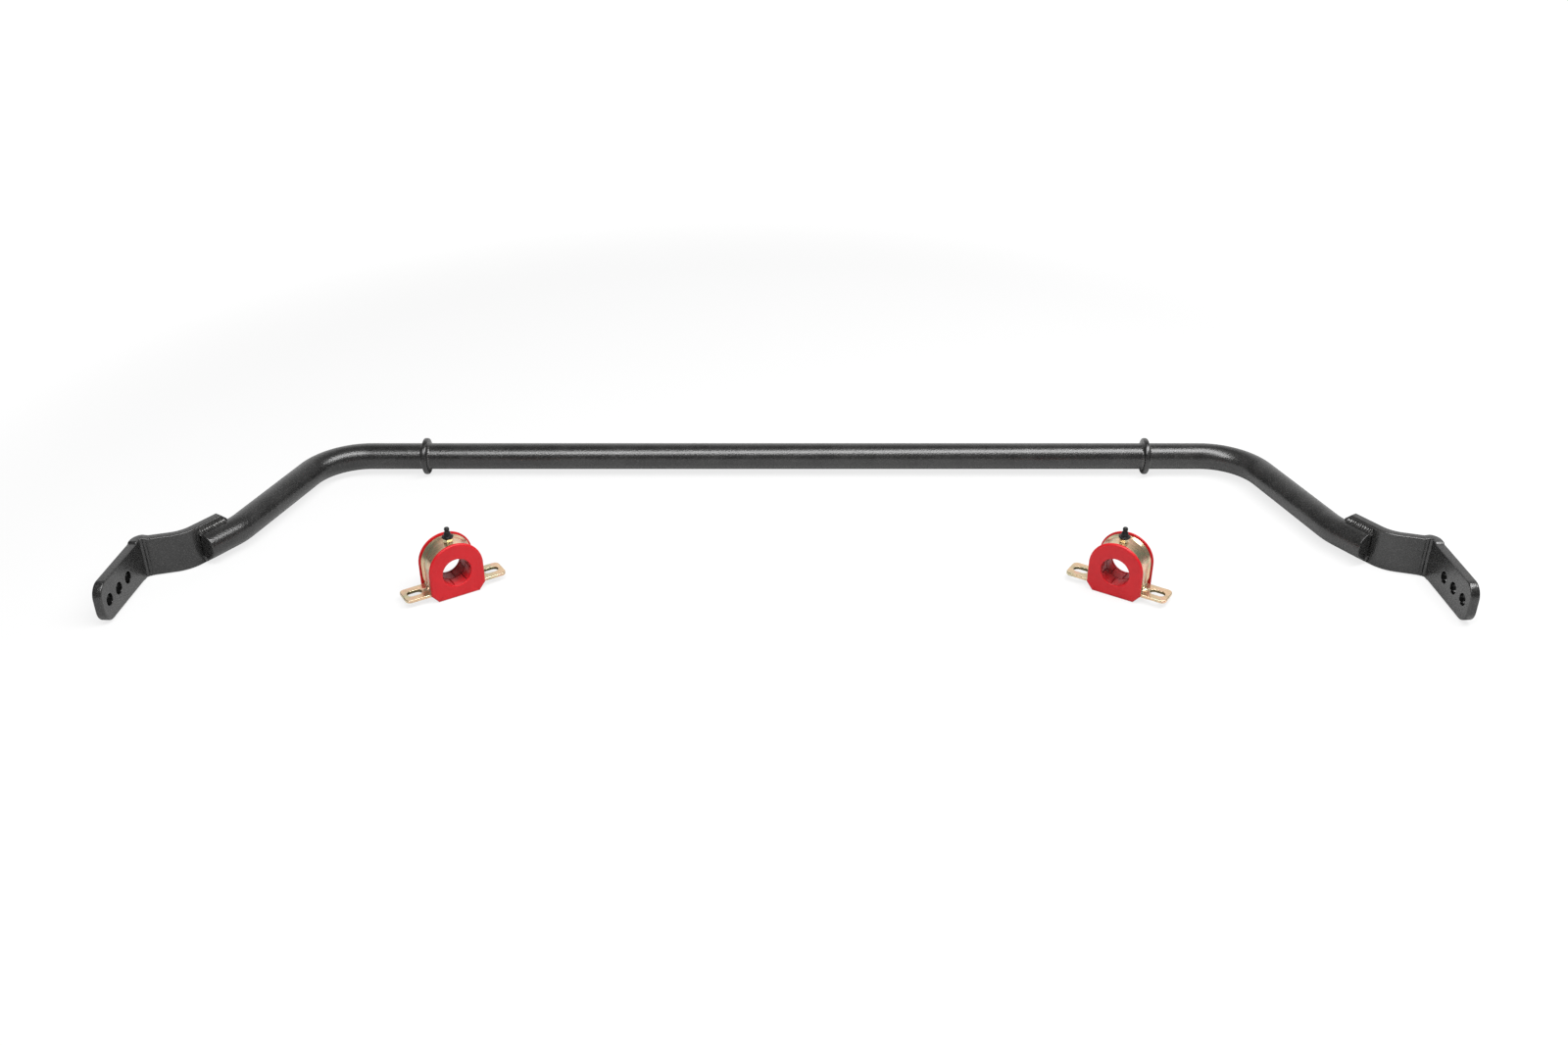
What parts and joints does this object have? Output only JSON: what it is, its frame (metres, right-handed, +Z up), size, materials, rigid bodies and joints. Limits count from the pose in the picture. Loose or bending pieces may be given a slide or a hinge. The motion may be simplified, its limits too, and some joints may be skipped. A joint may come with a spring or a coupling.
{
  "type": "sway bar",
  "caption": "Bent tubular sway bar with welded end plates and locator rings, laid out with its split D-bushings in strap brackets with grease fittings.",
  "frame": {"origin": "centre of the whole set's footprint, on the surface it lies on", "axes": "+X along the bar's straight section towards its right end, +Z up, arms reach towards -Y"},
  "size_m": [1.1442, 0.2966, 0.0616],
  "materials": {
    "hammertone_black": "satin textured powder coat",
    "coated_weld": "powder coat over a rippled weld",
    "red_polyurethane": "satin moulded polyurethane",
    "yellow_zinc": "zinc plating with a yellow passivate",
    "plated_steel": "turned and plated",
    "bright_steel": "bright",
    "black_rubber": "smooth moulded rubber"
  },
  "bodies": {
    "mounts": {"left_bushing": "red_polyurethane", "right_bushing": "red_polyurethane"},
    "bar": {"bar_tube": "hammertone_black", "left_end_plate": "hammertone_black", "left_tube_cap": "hammertone_black", "left_locator_ring": "hammertone_black", "left_ring_inner_weld": "coated_weld", "left_ring_outer_weld": "coated_weld", "left_upper_weld": "coated_weld", "left_lower_weld": "coated_weld", "right_end_plate": "hammertone_black", "right_tube_cap": "hammertone_black", "right_locator_ring": "hammertone_black", "right_ring_inner_weld": "coated_weld", "right_ring_outer_weld": "coated_weld", "right_upper_weld": "coated_weld", "right_lower_weld": "coated_weld"},
    "left_bracket": {"left_strap_bracket": "yellow_zinc", "left_grease_fitting": "plated_steel", "left_ball_spring": "bright_steel"},
    "left_cap": {"left_grease_cap": "black_rubber"},
    "left_ball": {"left_check_ball": "bright_steel"},
    "right_bracket": {"right_strap_bracket": "yellow_zinc", "right_grease_fitting": "plated_steel", "right_ball_spring": "bright_steel"},
    "right_cap": {"right_grease_cap": "black_rubber"},
    "right_ball": {"right_check_ball": "bright_steel"}
  },
  "joints": [
    {"name": "bar_turn", "type": "hinge", "parent": "mounts", "child": "bar", "pos_m": [0, 0.13037, 0.0179], "axis": [-1, 0, 0], "range_deg": [0, 40]},
    {"name": "left_bracket_lift", "type": "slide", "parent": "mounts", "child": "left_bracket", "axis": [0, 0, 1], "range_m": [0, 0.06]},
    {"name": "left_cap_pull", "type": "slide", "parent": "left_bracket", "child": "left_cap", "axis": [0, 0, 1], "range_m": [0, 0.012]},
    {"name": "left_ball_press", "type": "slide", "parent": "left_bracket", "child": "left_ball", "axis": [0, 0, -1], "range_m": [0, 0.0008], "stiffness_N_per_m": 5, "springref_m": -0.0005, "deforming": ["left_ball_spring"]},
    {"name": "right_bracket_lift", "type": "slide", "parent": "mounts", "child": "right_bracket", "axis": [0, 0, 1], "range_m": [0, 0.06]},
    {"name": "right_cap_pull", "type": "slide", "parent": "right_bracket", "child": "right_cap", "axis": [0, 0, 1], "range_m": [0, 0.012]},
    {"name": "right_ball_press", "type": "slide", "parent": "right_bracket", "child": "right_ball", "axis": [0, 0, -1], "range_m": [0, 0.0008], "stiffness_N_per_m": 5, "springref_m": -0.0005, "deforming": ["right_ball_spring"]}
  ]
}
